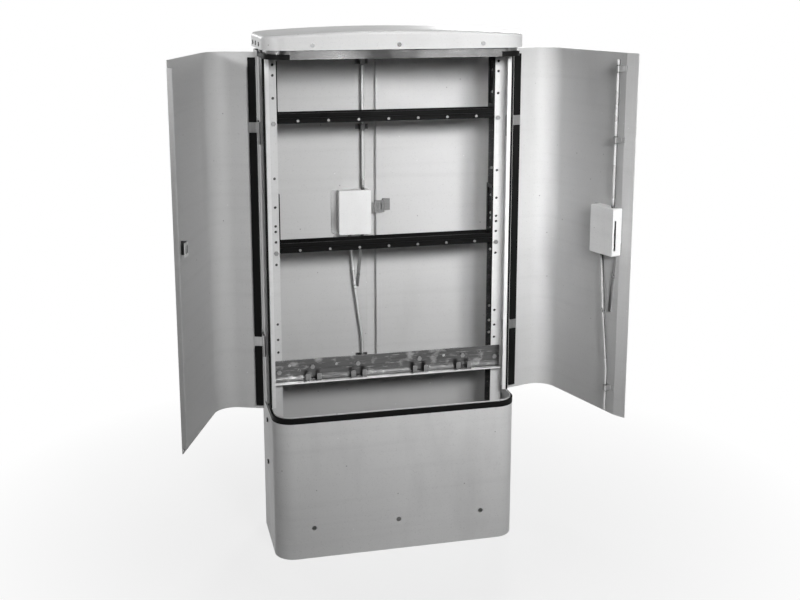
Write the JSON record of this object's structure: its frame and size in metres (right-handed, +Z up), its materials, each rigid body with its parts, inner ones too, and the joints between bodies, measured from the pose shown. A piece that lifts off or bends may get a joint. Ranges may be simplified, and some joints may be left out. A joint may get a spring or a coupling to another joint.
{
  "type": "roadside utility cabinet",
  "caption": "Double-sided sheet steel roadside cabinet on a hollow base, with round-cornered doors on rod locks, punched uprights, terminal bar frames and a cable clamp bar.",
  "frame": {"origin": "on the ground under the middle of the base", "axes": "+Z up, front towards -Y, +X to the right seen from the front"},
  "size_m": [1.1316, 0.4621, 1.3879],
  "materials": {
    "door_paint": "satin light grey enamel, lightly scuffed",
    "base_paint": "satin light grey enamel with smudges",
    "roof_paint": "satin pale grey enamel",
    "frame_paint": "satin pale grey enamel",
    "strip_paint": "satin white enamel",
    "galvanised": "galvanised, scratched and smudged",
    "dull_zinc": "galvanised, dulled dark, scratched, with bright worn edges",
    "zinc_plate": "bright zinc plate",
    "bare_steel": "drawn steel",
    "fastener_steel": "plated, dull",
    "lock_paint": "grey enamel",
    "black_paint": "satin black stove enamel",
    "black_moulding": "black moulded insulator",
    "rubber": "black sponge rubber"
  },
  "bodies": {
    "cabinet": {"base_shell": "base_paint", "base_gasket": "rubber", "upright_left": "frame_paint", "upright_right": "frame_paint", "upright_spacers": "zinc_plate", "base_bolts": "fastener_steel", "header_bolts": "fastener_steel", "top_frame": "galvanised", "top_gasket": "rubber", "roof": "roof_paint", "roof_screws": "fastener_steel", "side_strip_left": "strip_paint", "side_strip_right": "strip_paint", "side_trims": "rubber", "hinge_posts": "zinc_plate", "hinge_pads": "zinc_plate", "hinge_pins": "bare_steel", "mounting_frame_upper": "black_paint", "mounting_frame_lower": "black_paint", "terminal_bar_upper": "black_moulding", "terminal_bar_lower": "black_moulding", "terminal_bar_screws": "fastener_steel", "mounting_bolts": "fastener_steel", "clamp_bar": "dull_zinc", "clamp_bar_bolts": "fastener_steel", "saddle_bolts": "fastener_steel", "cable_saddles": "zinc_plate"},
    "front_left_door": {"front_left_panel": "door_paint", "front_left_gasket": "rubber", "front_left_hinge_leaves": "zinc_plate", "front_left_hinge_plates": "zinc_plate", "front_left_keep": "fastener_steel"},
    "front_right_door": {"front_right_panel": "door_paint", "front_right_gasket": "rubber", "front_right_hinge_leaves": "zinc_plate", "front_right_hinge_plates": "zinc_plate", "front_right_lock_backplate": "zinc_plate", "front_right_lock_cover": "lock_paint", "front_right_lock_escutcheon": "bare_steel", "front_right_rod_guides": "zinc_plate"},
    "front_right_cam": {"front_right_lock_cam": "bare_steel"},
    "front_right_top_bolt": {"front_right_upper_rod": "bare_steel"},
    "front_right_bottom_bolt": {"front_right_lower_rod": "bare_steel"},
    "rear_left_door": {"rear_left_panel": "door_paint", "rear_left_gasket": "rubber", "rear_left_hinge_leaves": "zinc_plate", "rear_left_hinge_plates": "zinc_plate", "rear_left_lock_backplate": "zinc_plate", "rear_left_lock_cover": "lock_paint", "rear_left_lock_escutcheon": "bare_steel", "rear_left_rod_guides": "zinc_plate"},
    "rear_left_cam": {"rear_left_lock_cam": "bare_steel"},
    "rear_left_top_bolt": {"rear_left_upper_rod": "bare_steel"},
    "rear_left_bottom_bolt": {"rear_left_lower_rod": "bare_steel"},
    "rear_right_door": {"rear_right_panel": "door_paint", "rear_right_gasket": "rubber", "rear_right_hinge_leaves": "zinc_plate", "rear_right_hinge_plates": "zinc_plate", "rear_right_keep": "fastener_steel"}
  },
  "joints": [
    {"name": "front_left_door_hinge", "type": "hinge", "parent": "cabinet", "child": "front_left_door", "pos_m": [-0.3375, -0.022, 0.86], "axis": [0, 0, -1], "range_deg": [-110.7, 4.3]},
    {"name": "front_right_door_hinge", "type": "hinge", "parent": "cabinet", "child": "front_right_door", "pos_m": [0.3375, -0.022, 0.86], "axis": [0, 0, 1], "range_deg": [-106.6, 8.4]},
    {"name": "front_right_lock_turn", "type": "hinge", "parent": "front_right_door", "child": "front_right_cam", "pos_m": [0.53608, -0.25759, 0.89508], "axis": [-0.9583, -0.2857, 0], "range_deg": [0, 90]},
    {"name": "front_right_top_bolt_slide", "type": "slide", "parent": "front_right_door", "child": "front_right_top_bolt", "axis": [0, 0, 1], "range_m": [0, 0.0315]},
    {"name": "front_right_bottom_bolt_slide", "type": "slide", "parent": "front_right_door", "child": "front_right_bottom_bolt", "axis": [0, 0, -1], "range_m": [0, 0.0315]},
    {"name": "rear_left_door_hinge", "type": "hinge", "parent": "cabinet", "child": "rear_left_door", "pos_m": [-0.3375, 0.022, 0.86], "axis": [0, 0, 1], "range_deg": [0, 80]},
    {"name": "rear_left_lock_turn", "type": "hinge", "parent": "rear_left_door", "child": "rear_left_cam", "pos_m": [-0.055, 0.145, 0.89508], "axis": [0, -1, 0], "range_deg": [0, 90]},
    {"name": "rear_left_top_bolt_slide", "type": "slide", "parent": "rear_left_door", "child": "rear_left_top_bolt", "axis": [0, 0, 1], "range_m": [0, 0.0315]},
    {"name": "rear_left_bottom_bolt_slide", "type": "slide", "parent": "rear_left_door", "child": "rear_left_bottom_bolt", "axis": [0, 0, -1], "range_m": [0, 0.0315]},
    {"name": "rear_right_door_hinge", "type": "hinge", "parent": "cabinet", "child": "rear_right_door", "pos_m": [0.3375, 0.022, 0.86], "axis": [0, 0, -1], "range_deg": [0, 80]}
  ],
  "couplings": [
    {"joint": "front_right_top_bolt_slide", "follows": "front_right_lock_turn", "m_per_rad": 0.019807},
    {"joint": "front_right_bottom_bolt_slide", "follows": "front_right_lock_turn", "m_per_rad": 0.019807},
    {"joint": "rear_left_top_bolt_slide", "follows": "rear_left_lock_turn", "m_per_rad": 0.019807},
    {"joint": "rear_left_bottom_bolt_slide", "follows": "rear_left_lock_turn", "m_per_rad": 0.019807}
  ]
}
